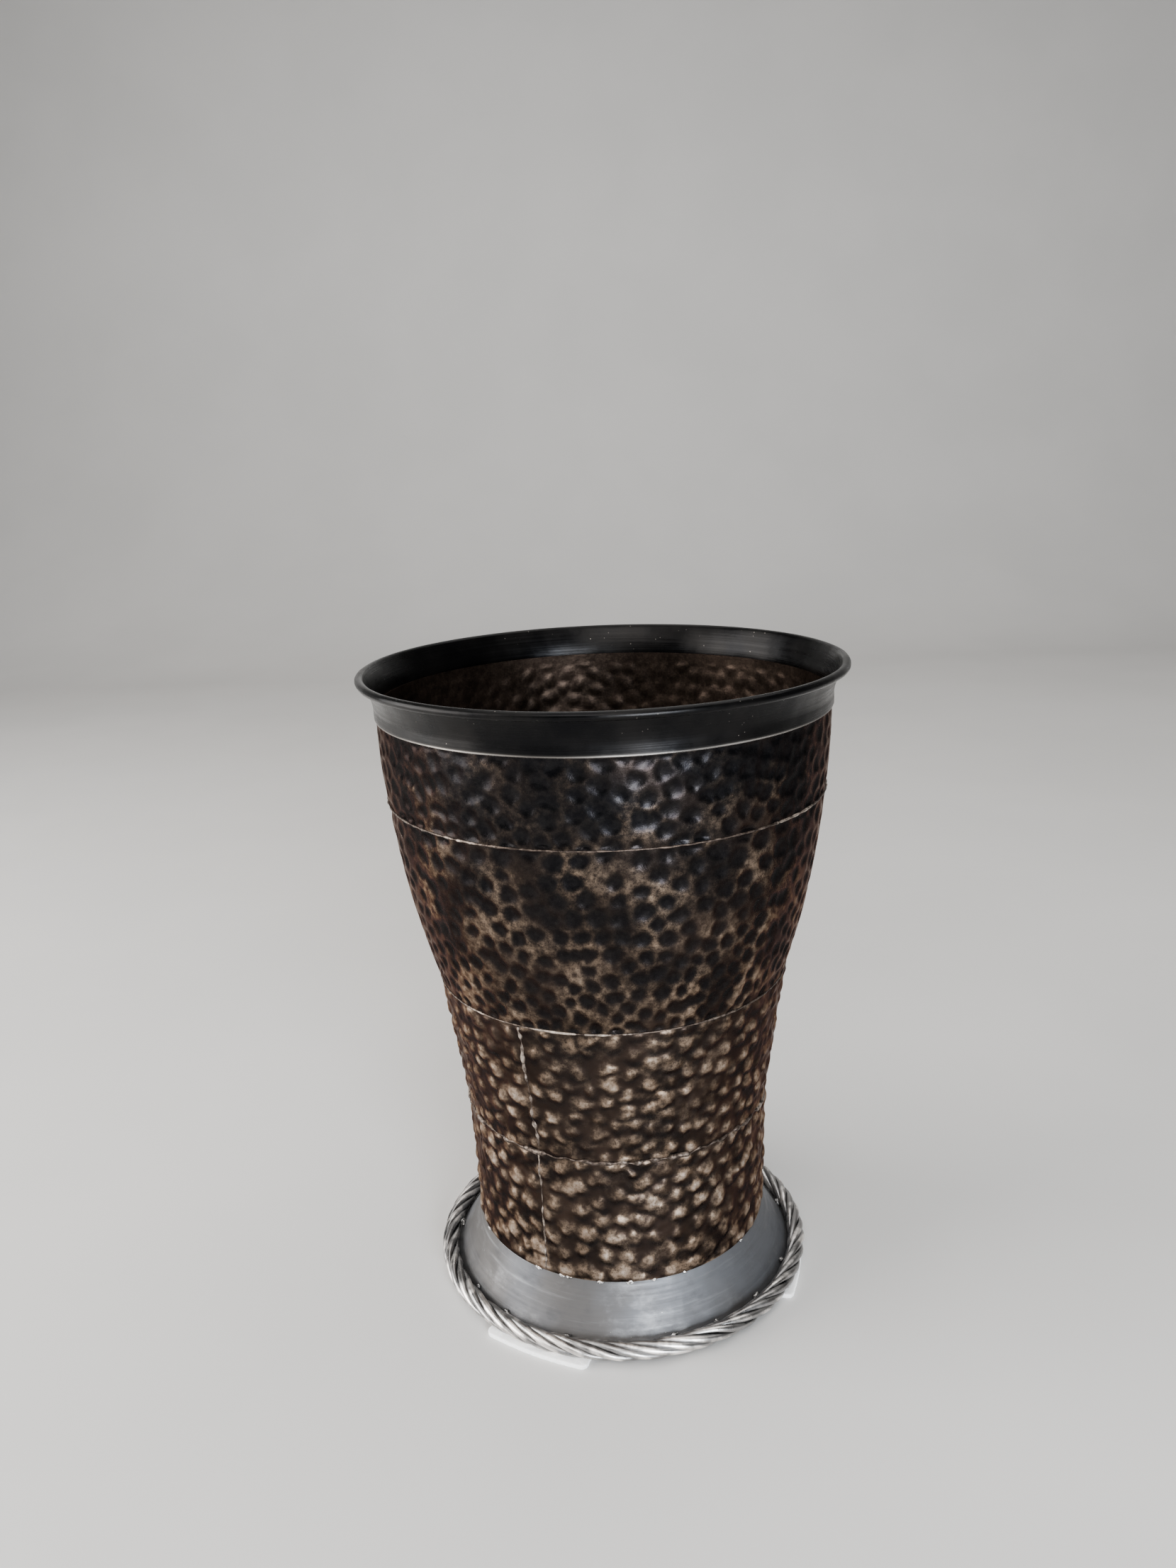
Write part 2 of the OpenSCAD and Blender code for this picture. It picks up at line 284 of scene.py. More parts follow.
def tin_metal():
    """Grey soft solder with bright high spots."""
    s = Shader("tin_solder", Metallic=0.95)
    mottle = s.noise(420, detail=4)
    high = s.span(s.sum(s.attribute("wear"), s.span(mottle, 0.3, 0.7, -0.14, 0.12)), 0.1, 0.95)
    s.set("Base Color", s.blend(high, (0.11, 0.108, 0.108), (0.74, 0.72, 0.70)))
    s.set("Roughness", s.span(mottle, 0.3, 0.7, 0.28, 0.42))
    s.set("Normal", s.bump(s.noise(900, detail=3), 0.0001, 0.8))
    return s.material


def white_felt():
    """Pressed white felt with a soft matted nap."""
    s = Shader("felt", Roughness=0.95, Sheen_Weight=0.5, Sheen_Roughness=0.6, Specular_IOR_Level=0.1)
    nap = s.noise(2600, detail=4, rough=0.7)
    clump = s.noise(420, detail=4)
    base = s.blend(s.span(clump, 0.3, 0.7), (0.88, 0.875, 0.86), (0.95, 0.945, 0.935))
    s.set("Base Color", s.blend(s.span(nap, 0.25, 0.5, 0.3, 0), base, (0.66, 0.65, 0.64)))
    s.set("Normal", s.bump(nap, 0.0002, 0.8, under=s.bump(clump, 0.0004, 0.7)))
    return s.material


def pale_floor():
    s = Shader("pale_floor", Roughness=0.6, Specular_IOR_Level=0.25)
    s.set("Base Color", s.blend(s.span(s.noise(3), 0.3, 0.7), (0.515, 0.505, 0.492), (0.540, 0.528, 0.515)))
    return s.material


# ---- Meshes ----


def add_attribute(mesh, name, values):
    attribute = mesh.attributes.new(name, "FLOAT", "POINT")
    attribute.data.foreach_set("value", np.asarray(values, dtype=np.float32).ravel())


def add_mesh(name, points, faces, material, wear=None, tone=None, sharp=40):
    """A smooth-shaded piece whose edges stay hard where they turn by more than sharp degrees."""
    mesh = bpy.data.meshes.new(name)
    mesh.from_pydata(points.tolist(), [], [list(map(int, f)) for f in faces])
    mesh.update()
    mesh.shade_smooth()
    mesh.set_sharp_from_angle(angle=math.radians(sharp))
    if wear is not None:
        add_attribute(mesh, "wear", wear)
    if tone is not None:
        add_attribute(mesh, "tone", tone)
    mesh.materials.append(material)
    piece = bpy.data.objects.new(name, mesh)
    bpy.context.collection.objects.link(piece)
    return piece


def grid_faces(rows, cols, join_rows=True, join_cols=True):
    """The quads of a grid of points, joined up at its ends where it closes on itself."""
    row = np.arange(rows if join_rows else rows - 1)[:, None]
    col = np.arange(cols if join_cols else cols - 1)[None, :]
    next_row = (row + 1) % rows
    next_col = (col + 1) % cols
    corners = (row * cols + col, row * cols + next_col, next_row * cols + next_col, next_row * cols + col)
    return np.stack(np.broadcast_arrays(*corners), -1).reshape(-1, 4)


def angles(count):
    return np.arange(count) * (TURN / count)


def round_points(radius, height, theta):
    """Points round the upright axis from grids of radius and height, a row per height."""
    radius, height, theta = np.broadcast_arrays(radius, height, theta[None, :])
    return np.stack([radius * np.cos(theta), radius * np.sin(theta), height], -1).reshape(-1, 3)


def add_ring(name, radius, height, material, wear=None, tone=None):
    """A closed ring: each row is a point of its section, and each column an angle."""
    rows, cols = radius.shape
    points = round_points(radius, height, angles(cols))
    return add_mesh(name, points, grid_faces(rows, cols), material, wear, tone)


def finish_piece(piece, node):
    """The piece rides on the pot and stands for this CAD node."""
    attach(piece, BODY)
    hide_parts(node)


# ---- Shapes read from the frame, and smooth random waves ----

WAVE_COUNT = 28  # plane waves that add up to one ripple


def outer_line(node, top):
    """A smooth curve through a round node's outer radius at each height of its points up to top."""
    place = np.array([v.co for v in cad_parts[node].data.vertices])
    radius = np.hypot(place[:, 0], place[:, 1])
    level = np.round(place[:, 2], 5)
    heights = np.unique(level)
    heights = heights[heights <= top + 1e-5]
    widest = np.array([radius[level == h].max() for h in heights])
    return np.poly1d(np.polyfit(heights, widest, 2))


def islands(node):
    """The centre and the half-width of each separate solid of a node."""
    mesh = bmesh.new()
    mesh.from_mesh(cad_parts[node].data)
    bmesh.ops.remove_doubles(mesh, verts=mesh.verts, dist=1e-6)
    found = []
    left = set(mesh.verts)
    while left:
        open_verts = [left.pop()]
        group = []
        while open_verts:
            vert = open_verts.pop()
            group.append(vert.co.copy())
            for edge in vert.link_edges:
                other = edge.other_vert(vert)
                if other in left:
                    left.remove(other)
                    open_verts.append(other)
        place = np.array(group)
        middle = (place.max(0) + place.min(0)) / 2
        found.append((Vector(middle), float(np.ptp(place[:, 2]) / 2)))
    mesh.free()
    return sorted(found, key=lambda item: math.atan2(item[0].y, item[0].x))


def ripple(theta, height, radius, wavelength, seed):
    """Smooth random waves over a round surface, about 1 high, that join up round it."""
    rng = np.random.default_rng(seed)
    total = 0
    for _ in range(WAVE_COUNT):
        heading = rng.uniform(0, TURN)
        strength = rng.uniform(0.7, 1.3) * TURN / wavelength
        round_count = round(strength * math.cos(heading) * radius)
        phase = rng.uniform(0, TURN)
        total = total + np.cos(round_count * theta + strength * math.sin(heading) * height + phase)
    return total * math.sqrt(2 / WAVE_COUNT)


def smooth_step(value, low, high):
    share = np.clip((value - low) / (high - low), 0, 1)
    return share * share * (3 - 2 * share)


def soften(field, passes):
    """Blurs a grid of heights that joins up from its last column to its first."""
    for _ in range(passes):
        field = (np.roll(field, 1, 1) + 2 * field + np.roll(field, -1, 1)) / 4
        padded = np.pad(field, ((1, 1), (0, 0)), mode="edge")
        field = (padded[:-2] + 2 * padded[1:-1] + padded[2:]) / 4
    return field


# ---- The hammered bands ----

SHEET = 1.2 * MM
FACE_LIMIT = 98000  # quads in one band, so that its exported mesh stays whole
SPREAD_ROUNDS = 4  # times that crowded hammer marks are pushed apart
MISSES_ALLOWED = 500  # tries in a row that find no room, after which a band counts as full
WARP_ROOM = 3 * MM  # how far round a mark its warped outline may reach

# A mark's half-length as a share of the gap between marks, its width over its length, and the share
# of marks that are struck twice.
KNOB_SIZE = (0.48, 0.70)
KNOB_ROUNDNESS = (0.76, 1.0)
KNOB_DOUBLED = 0.10
DENT_SIZE = (0.52, 0.72)
DENT_ROUNDNESS = (0.82, 1.0)
DENT_DOUBLED = 0.06

# How brightly knobs are worn, and how often each level comes.
KNOB_SHINE = (1.0, 0.82, 0.6, 0.35)
KNOB_SHINE_ODDS = (0.32, 0.28, 0.26, 0.14)
KNOB_WEAR_SPREAD = 0.66  # how far a knob's wear spreads, as a share of the knob's reach


def scatter(width, height, gap, rng):
    """Random places on a strip that joins up across its width, no two closer than gap.

    gap is the least distance at the strip's lower and upper edge. It stops once there is hardly any room.
    """
    places = np.empty((0, 2))
    misses = 0
    while misses < MISSES_ALLOWED:
        place = rng.uniform((0, 0), (width, height))
        least = gap[0] + (gap[1] - gap[0]) * place[1] / height
        across = np.abs(places[:, 0] - place[0])
        across = np.minimum(across, width - across)
        misses += 1
        if np.all(np.hypot(across, places[:, 1] - place[1]) > least):
            places = np.vstack([places, place])
            misses = 0
    for _ in range(SPREAD_ROUNDS):
        across = places[:, None, 0] - places[None, :, 0]
        across -= width * np.round(across / width)
        climb = places[:, None, 1] - places[None, :, 1]
        far = np.hypot(across, climb) + width * np.eye(len(places))
        least = gap[0] + (gap[1] - gap[0]) * places[:, 1:2] / height
        push = 0.3 * np.clip(1.25 * least / far - 1, 0, None)
        places = places + np.stack([(push * across).sum(1), (push * climb).sum(1)], -1)
        places[:, 1] = np.clip(places[:, 1], 0, height)
    return places


class Band:
    """One hammered band: its outline from the frame, and the relief that hammering gives it.

    Its grids have a row for each height and a column for each angle. tone is the patina at its lower
    and upper edge, 0 for glossy black and 1 for satin brown, low on the upper bands partly as painted
    shade, and warp is how far marks are bent.
    """

    def __init__(self, number, cols, inner_rows, tone, warp):
        self.number = number
        self.cols = cols
        self.seed = 100 * number
        low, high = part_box(f"hammered_band_{number}")
        self.low, self.high = low.z, high.z
        self.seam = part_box("collar")[0].z if number == 4 else high.z
        self.line = outer_line(f"hammered_band_{number}", self.seam)
        self.rng = np.random.default_rng(self.seed)
        self.rows = FACE_LIMIT // cols - inner_rows
        self.inner_rows = inner_rows
        self.theta = angles(cols)[None, :]
        self.z = np.linspace(self.low, self.high, self.rows)
        self.tall = self.high - self.low
        self.middle = float(self.line((self.low + self.seam) / 2))
        self.width = TURN * self.middle
        self.relief = np.zeros((self.rows, cols))
        self.wear = np.zeros((self.rows, cols))
        climb = (self.z[:, None] - self.low) / self.tall
        self.tone = np.clip(tone[0] + (tone[1] - tone[0]) * climb + 0.12 * self.waves(50 * MM, 1), 0, 1)
        self.shift = [warp * (self.waves(13 * MM, n) + 0.25 * self.waves(6 * MM, n + 20)) for n in (2, 3)]

    def waves(self, wavelength, number):
        return ripple(self.theta, self.z[:, None], self.middle, wavelength, self.seed + number)

    def strike(self, gap, size, roundness, doubled):
        """Yields each mark's window in the grid, how far out its points are and how far up.

        Both are 0 in its middle, and how far out is 1 at its rim.
        """
        step_s = self.width / self.cols
        step_z = self.tall / (self.rows - 1)
        for s, z in scatter(self.width, self.tall, gap, self.rng):
            reach = gap[0] + (gap[1] - gap[0]) * z / self.tall
            beats = 2 if self.rng.random() < doubled else 1
            for beat in range(beats):
                s = s + beat * reach * self.rng.uniform(0.55, 0.8)
                z = z + beat * reach * self.rng.uniform(-0.25, 0.25)
                long = reach * self.rng.uniform(*size)
                short = long * self.rng.uniform(*roundness)
                tilt = self.rng.uniform(0, math.pi)
                edge = long + WARP_ROOM
                cols = np.arange(math.floor((s - edge) / step_s), math.ceil((s + edge) / step_s) + 1)
                first = max(0, math.floor((z - edge) / step_z))
                last = min(self.rows - 1, math.ceil((z + edge) / step_z))
                rows = np.arange(first, last + 1)
                window = np.ix_(rows, cols % self.cols)
                u = (cols * step_s - s)[None, :] + self.shift[0][window]
                v = (rows * step_z - z)[:, None] + self.shift[1][window]
                far = np.hypot(
                    (u * math.cos(tilt) + v * math.sin(tilt)) / long,
                    (v * math.cos(tilt) - u * math.sin(tilt)) / short,
                )
                yield window, far, v / short

    def raise_marks(self, height, gap, fade):
        """Knobs pushed out from inside, worn pale on top, made paler still on their upper side by a painted
        highlight, with a painted shadow in a dark crescent under each.

        fade is how much duller they are at the band's upper edge.
        """
        lit = np.zeros_like(self.relief)
        shade = np.zeros_like(self.relief)
        for window, far, rise in self.strike(gap, KNOB_SIZE, KNOB_ROUNDNESS, KNOB_DOUBLED):
            bell = np.clip(1 - far ** 2, 0, 1) ** 1.3
            share = self.rng.uniform(0.6, 1.0)
            shine = self.rng.choice(KNOB_SHINE, p=KNOB_SHINE_ODDS)
            self.relief[window] = np.maximum(self.relief[window], height * share * bell)
            # Painted highlight: the wear is raised on each knob's upper side and lowered on its lower side,
            # as light from above would fall.
            upper = np.clip(0.70 + 0.46 * rise, 0.1, 1.1)
            worn_and_top_lit = shine * np.exp(-((far / KNOB_WEAR_SPREAD) ** 2)) * upper
            lit[window] = np.maximum(lit[window], worn_and_top_lit)
            # Painted shadow: a dark crescent along each knob's lower rim.
            below = np.exp(-((far - 1.0) / 0.3) ** 2) * np.clip(-rise, 0, 1)
            shade[window] = np.maximum(shade[window], below)
        climb = (self.z[:, None] - self.low) / self.tall
        patches = np.clip(0.86 + 0.24 * self.waves(60 * MM, 4), 0.35, 1.15) * (1 - fade * climb)
        brushed = 0.86 + 0.22 * self.waves(5.0 * MM, 7) + 0.22 * self.waves(2.8 * MM, 8)
        haze = 0.05 * np.clip(0.6 + self.waves(18 * MM, 9) + 0.5 * self.waves(7 * MM, 10), 0, 3)
        # The wear carries the painted highlight and is cut back in the painted shadow, where the tone is
        # also turned towards glossy black.
        self.wear = (lit * patches * brushed + haze) * (1 - 0.75 * shade)
        self.tone = self.tone * (1 - 0.8 * shade)
        self.relief = self.relief + 0.12 * MM * self.waves(7 * MM, 5)

    def rub(self, middle, reach, strength, wavelength):
        """Adds rubbed streaks to the wear round one height, which fade out over reach."""
        near = np.exp(-((self.z[:, None] - middle) / reach) ** 2)
        field = ripple(self.theta, 0.25 * self.z[:, None], self.middle, wavelength, self.seed + 11)
        streaks = smooth_step(field, 0.3, 1.6)
        self.wear = self.wear + strength * near * streaks * (0.8 + 0.25 * self.waves(4 * MM, 12))

    def dent_marks(self, depth, shallow, gap, wear):
        """Round dents struck from outside, darkest inside, with a faint painted sheen on the upper part of
        each. The ridges left between them are worn pale.

        shallow is how much less deep they are at the band's upper edge, and wear is how worn the
        ridges are at its lower and upper edge.
        """
        painted_dent_sheen = np.zeros_like(self.relief)
        for window, far, rise in self.strike(gap, DENT_SIZE, DENT_ROUNDNESS, DENT_DOUBLED):
            bowl = np.clip(1 - far ** 2, 0, 1) ** 0.9
            share = self.rng.uniform(0.7, 1.0)
            self.relief[window] = np.minimum(self.relief[window], -depth * share * bowl)
            # Painted sheen: the upper part of each dent is made a little paler in the wear.
            painted_dent_sheen[window] = np.maximum(painted_dent_sheen[window], np.clip(rise, 0, 1) * bowl * share)
        flat = 1 - smooth_step(-self.relief, 0, 0.40 * depth)
        crest = smooth_step(self.relief - soften(self.relief, 25), 0.02 * depth, 0.22 * depth)
        ridge = np.maximum(flat, 0.85 * crest)
        climb = (self.z[:, None] - self.low) / self.tall
        patches = np.clip(0.68 + 0.38 * self.waves(42 * MM, 4), 0.2, 1.3)
        cloudy = np.clip(0.85 + 0.22 * self.waves(6 * MM, 7) + 0.13 * self.waves(3.2 * MM, 8), 0.1, 1.5)
        self.wear = ridge * (wear[0] + (wear[1] - wear[0]) * climb) * patches * cloudy + 0.05 * painted_dent_sheen
        self.tone = self.tone * (0.25 + 0.75 * ridge)
        self.relief = self.relief * (1 - shallow * climb)

    def settle(self):
        """Softens the relief, fades it at the band's edges and adds the sheet's slow waves."""
        edge = np.minimum(self.z - self.low, self.seam - self.z)
        fade = smooth_step(edge, 0.2 * MM, 2.5 * MM)[:, None]
        self.relief = (soften(self.relief, 2) + 0.1 * MM * self.waves(70 * MM, 6)) * fade
        self.wear = np.clip(soften(self.wear, 1), 0, 1)
        self.tone = np.clip(soften(self.tone, 2), 0, 1)

    def base_radius(self, z):
        return self.line(np.minimum(z, self.seam))

    def surface(self, theta, z):
        """The outer radius at an angle and a height, relief included."""
        col = (theta / TURN * self.cols) % self.cols
        row = np.clip((z - self.low) / self.tall * (self.rows - 1), 0, self.rows - 1)
        c0 = np.floor(col).astype(int) % self.cols
        r0 = np.minimum(np.floor(row).astype(int), self.rows - 2)
        c1 = (c0 + 1) % self.cols
        fc = col - np.floor(col)
        fr = row - r0
        low = self.relief[r0, c0] * (1 - fc) + self.relief[r0, c1] * fc
        high = self.relief[r0 + 1, c0] * (1 - fc) + self.relief[r0 + 1, c1] * fc
        return self.base_radius(z) + low * (1 - fr) + high * fr

    def build(self, material):
        """The closed shell: the hammered outside, and a coarser, calmer copy of it inside."""
        outside = self.base_radius(self.z)[:, None] + self.relief
        back = np.linspace(self.rows - 1, 0, self.inner_rows).round().astype(int)
        inside = self.base_radius(self.z)[back, None] + 0.7 * self.relief[back] - SHEET
        radius = np.vstack([outside, inside])
        height = np.concatenate([self.z, self.z[back]])[:, None]
        wear = np.vstack([self.wear, 0.07 + 0.13 * self.wear[back]])
        tone = np.vstack([self.tone, np.full((self.inner_rows, self.cols), 0.8)])
        piece = add_ring(f"visual_band_{self.number}", radius, height, material, wear, tone)
        finish_piece(piece, f"hammered_band_{self.number}")


def make_bands(material):
    # The tone falls from satin brown on the lower bands to glossy black on the upper ones: partly the
    # patina's own change, partly painted shade over the pot's top.
    lowest = Band(1, cols=700, inner_rows=28, tone=(0.80, 0.75), warp=0.75 * MM)
    second = Band(2, cols=720, inner_rows=28, tone=(0.75, 0.65), warp=0.75 * MM)
    third = Band(3, cols=760, inner_rows=30, tone=(0.70, 0.22), warp=0.4 * MM)
    highest = Band(4, cols=860, inner_rows=50, tone=(0.20, 0.0), warp=0.4 * MM)
    lowest.raise_marks(height=1.7 * MM, gap=(11.6 * MM, 10.4 * MM), fade=0.0)
    lowest.rub(lowest.low + 8 * MM, reach=11 * MM, strength=0.42, wavelength=17 * MM)
    lowest.rub(lowest.low, reach=0.7 * MM, strength=0.60, wavelength=45 * MM)
    second.raise_marks(height=1.5 * MM, gap=(9.3 * MM, 10.0 * MM), fade=0.3)
    second.rub(second.low + 1 * MM, reach=7 * MM, strength=0.28, wavelength=14 * MM)
    third.dent_marks(depth=1.6 * MM, shallow=0.0, gap=(8.2 * MM, 10.6 * MM), wear=(0.30, 0.15))
    highest.dent_marks(depth=1.7 * MM, shallow=0.5, gap=(9.4 * MM, 9.2 * MM), wear=(0.12, 0.05))
    bands = [lowest, second, third, highest]
    for band in bands:
        band.settle()
        band.build(material)
    return bands


# ---- Seams ----

TUBE_SIDES = 12
TUBE_COLUMNS = 1440


def add_tube(name, ring_radius, height, thickness, material, wear):
    """A ring of wire whose place and thickness may change round it."""
    turn = angles(TUBE_SIDES)[:, None]
    radius = ring_radius + thickness * np.cos(turn)
    level = height + thickness * np.sin(turn)
    return add_ring(name, radius, level, material, wear)


def make_seam(node, lower, upper, material, lump, seed, wear_level):
    """A seam's wire or solder: it keeps to the CAD ring, with lumps and nicks of its own.

    lump is how uneven it is, and wear_level how bright it is on average.
    """
    low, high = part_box(node)
    half = (high.z - low.z) / 2
    seam_z = (high.z + low.z) / 2
    theta = angles(TUBE_COLUMNS)[None, :]
    seat = (lower.base_radius(lower.seam) + upper.base_radius(upper.low)) / 2
    slow = ripple(theta, 0, seat, 55 * MM, seed)
    quick = ripple(theta, 0, seat, 9 * MM, seed + 1)
    thickness = half * np.clip(0.8 + lump * (0.25 * slow + 0.4 * quick), 0.4, 1.5)
    wobble = ripple(theta, 0, seat, 11 * MM, seed + 4)
    sway = ripple(theta, 0, seat, 120 * MM, seed + 2)
    drift = half * lump * (0.3 * sway + 0.22 * wobble)
    nick = smooth_step(ripple(theta, 0, seat, 14 * MM, seed + 3), 1.5, 2.0)
    thickness = thickness * (1 - 0.5 * nick)
    bright = np.clip(wear_level + 0.20 * slow + 0.10 * quick - 0.3 * nick, 0, 1)
    wear = np.broadcast_to(bright, (TUBE_SIDES, TUBE_COLUMNS))
    piece = add_tube(f"visual_{node}", seat + 0.1 * half, seam_z + drift, thickness, material, wear)
    finish_piece(piece, node)


def make_lap_joint(number, band, material, width, proud, rough, shine):
    """An upright run of solder over a band's joint, with the sheet's relief under it.

    proud is how far it stands out, rough how uneven it is, and shine how bright it is on average.
    """
    low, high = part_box(f"lap_joint_{number}")
    middle = math.atan2((low.y + high.y) / 2, (low.x + high.x) / 2)
    rows = 220
    across = 9
    end_gap = 0.4 * MM
    edge_sunk = 0.05 * MM
    depth = 0.5 * MM
    z = np.linspace(band.low + end_gap, min(band.seam, high.z) - end_gap, rows)
    seed = 300 + number
    slow = ripple(0, z, 1, 22 * MM, seed)
    quick = ripple(0, z, 1, 7 * MM, seed + 10)
    lumps = np.clip(0.7 + rough * (0.4 * slow + 0.5 * quick), 0.25, 1.7)
    half = width / 2 * np.clip(0.72 + 0.55 * rough * quick + 0.2 * slow, 0.15, 1.6)
    drift = rough * 0.5 * MM * ripple(0, z, 1, 30 * MM, seed + 20)
    side = np.linspace(-1, 1, across)[:, None]
    radius_here = band.base_radius(z)
    theta = middle + (drift + side * half) / radius_here
    skin = band.surface(theta, np.broadcast_to(z, theta.shape))
    top = skin + proud * lumps * (1 - side ** 2) - edge_sunk
    under = skin[::-1] - depth
    radius = np.vstack([top, under])
    theta = np.vstack([theta, theta[::-1]])
    height = np.broadcast_to(z, theta.shape)
    points = np.stack([radius * np.cos(theta), radius * np.sin(theta), height], -1).reshape(-1, 3)
    faces = [tuple(f) for f in grid_faces(2 * across, rows, join_cols=False)]
    faces.append(tuple(i * rows for i in range(2 * across)))
    faces.append(tuple((i + 1) * rows - 1 for i in reversed(range(2 * across))))
    worn = np.clip(shine * lumps * (1 - 0.8 * side ** 2), 0, 1)
    wear = np.vstack([worn, np.zeros_like(worn)])
    piece = add_mesh(f"visual_lap_joint_{number}", points, faces, material, wear, sharp=60)
    finish_piece(piece, f"lap_joint_{number}")


def make_blobs(node, material, squash, shine, seed):
    """Small run and smeared blobs of solder where the CAD has its round ones.

    squash is how far a blob may be drawn out along the joint, and shine how bright it is on average.
    """
    mesh = bmesh.new()
    wear = []
    rng = np.random.default_rng(seed)
    for number, (middle, size) in enumerate(islands(node)):
        outward = Vector((middle.x, middle.y, 0)).normalized()
        along = Vector((-outward.y, outward.x, 0))
        lean = rng.uniform(-0.7, 0.7)
        flat = rng.uniform(0.55, 0.8)
        stretch = rng.uniform(1.0, squash)
        made = bmesh.ops.create_icosphere(mesh, subdivisions=4, radius=size)
        for vert in made["verts"]:
            way = vert.co.normalized()
            lump = noise.noise(way * 1.4 + Vector((seed + 7.1 * number, 0, 0)))
            fine = noise.noise(way * 3.2 + Vector((0, seed + 3.7 * number, 0)))
            reach = size * (1 + 0.45 * lump + 0.16 * fine)
            s = (way.x * math.cos(lean) - way.z * math.sin(lean) * flat) * reach * stretch
            z = (way.x * math.sin(lean) + way.z * math.cos(lean) * flat) * reach
            vert.co = middle + along * s + outward * way.y * reach * 0.8 + Vector((0, 0, z))
            wear.append(shine + 0.5 * lump + 0.3 * way.z)
    data = bpy.data.meshes.new(f"visual_{node}")
    mesh.to_mesh(data)
    mesh.free()
    data.shade_smooth()
    add_attribute(data, "wear", np.clip(wear, 0, 1))
    data.materials.append(material)
    piece = bpy.data.objects.new(data.name, data)
    bpy.context.collection.objects.link(piece)
    finish_piece(piece, node)


# ---- The collar ----

COLLAR_LEAN = 25.2  # degrees that the flare leans out where the roll starts
COLLAR_ROLL = 290  # degrees that the sheet turns round the rim wire
LAP_POINTS = 7
FLARE_POINTS = 16
ROLL_POINTS = 29
PALE_ROLL = (4, 12)  # the first and the last of the roll's points that are made pale, along the roll's top


def make_collar(material):
    """The smooth collar: it laps over the top band, flares, and rolls over the rim wire."""
    low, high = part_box("collar")
    wire_low, wire_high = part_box("rim_wire")
    band_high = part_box("hammered_band_4")[1]
    wire_r = (wire_high.z - wire_low.z) / 2
    wire_z = (wire_high.z + wire_low.z) / 2
    ring = wire_high.x - wire_r
    roll_out = high.z - wire_z
    gap = 0.1 * MM
    sheet = roll_out - wire_r - gap
    roll = roll_out - sheet / 2
    lap_top = band_high.z
    neck = band_high.x + sheet / 2
    cols = 720
    lean = math.radians(COLLAR_LEAN)
    start = (ring - roll * math.cos(lean), wire_z + roll * math.sin(lean))
    line = []
    for z in np.linspace(low.z, lap_top, LAP_POINTS + 1)[:-1]:
        line.append((neck, z))
    for t in np.linspace(0, 1, FLARE_POINTS):
        line.append((neck + (start[0] - neck) * t ** 1.5, lap_top + (start[1] - lap_top) * t))
    for turn in np.linspace(0, math.radians(COLLAR_ROLL), ROLL_POINTS + 1)[1:]:
        a = math.pi - lean - turn
        line.append((ring + roll * math.cos(a), wire_z + roll * math.sin(a)))
    line = np.array(line)
    tangent = np.gradient(line, axis=0)
    tangent /= np.linalg.norm(tangent, axis=1)[:, None]
    normal = np.stack([tangent[:, 1], -tangent[:, 0]], -1)
    outside = line + normal * sheet / 2
    inside = line - normal * sheet / 2
    lip = line[0] + np.array([[0, -0.5 * sheet]])
    section = np.vstack([outside, inside[::-1], lip])
    theta = angles(cols)[None, :]
    level = section[:, 1:2]
    flex = 0.10 * MM * ripple(theta, level, ring, 60 * MM, 501)
    flex = flex + 0.03 * MM * ripple(theta, level, ring, 18 * MM, 502)
    radius = section[:, 0:1] + flex
    lap_edge = 0.8 * np.exp(-((section[:, 1] - low.z) / (0.5 * MM)) ** 2)
    row = np.arange(len(section))
    roll_row = row - LAP_POINTS - FLARE_POINTS
    rolled = (roll_row >= PALE_ROLL[0]) & (roll_row <= PALE_ROLL[1])
    shine = np.where(row < len(line), lap_edge, 0) + np.where(rolled, 0.7, 0)
    shine[-1] = 0.8
    fade = 0.8 + 0.2 * ripple(theta, 0, ring, 70 * MM, 503)
    wear = np.clip(shine[:, None] * fade, 0, 1)
    piece = add_ring("visual_collar", radius, level, material, wear)
    finish_piece(piece, "collar")


# ---- The foot ----

SKIRT_POINTS = 60
SKIRT_RUN = 1.35 * MM  # level distance through the sloping sheet
UPSTAND_RUN = 1.15 * MM  # the same through the upright stretch inside the body
SKIRT_MIDDLE = 105 * MM  # radius halfway down the skirt
SKIRT_EDGE = 110 * MM  # radius near its lower edge


def make_foot(material):
    """The foot's conical skirt, with a small rounded lip at its lower edge."""
    low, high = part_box("foot_skirt")
    body_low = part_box("hammered_band_1")[0].z
    line = outer_line("foot_skirt", body_low)
    top_r = float(line(body_low))
    rows = [(top_r, high.z)]
    for t in np.linspace(0, 1, SKIRT_POINTS):
        z = body_low + (low.z - body_low) * t
        lip = 0.35 * MM * math.exp(-(((z - low.z) / (1.2 * MM)) ** 2))
        rows.append((float(line(z)) + lip, z))
    outside = np.array(rows)
    inside = outside[::-1] - np.array([[SKIRT_RUN, 0]])
    inside[-1] = (top_r - UPSTAND_RUN, high.z)
    section = np.vstack([outside, inside])
    theta = angles(720)[None, :]
    level = section[:, 1:2]
    calm = smooth_step(level, body_low, body_low - 8 * MM)
    flex = 0.16 * MM * ripple(theta, level, SKIRT_MIDDLE, 55 * MM, 601)
    flex = flex + 0.05 * MM * ripple(theta, level, SKIRT_MIDDLE, 20 * MM, 602)
    radius = section[:, 0:1] - np.abs(flex) * calm
    shine = np.exp(-((section[:, 1] - low.z - 0.7 * MM) / (0.8 * MM)) ** 2) * 0.75
    shine[len(outside):] = 0
    patches = 0.7 + 0.3 * ripple(theta, 0, SKIRT_EDGE, 40 * MM, 603)
    wear = np.clip(shine[:, None] * patches, 0, 1)
    piece = add_ring("visual_foot_skirt", radius, level, material, wear)
    finish_piece(piece, "foot_skirt")


# ---- The rope ----

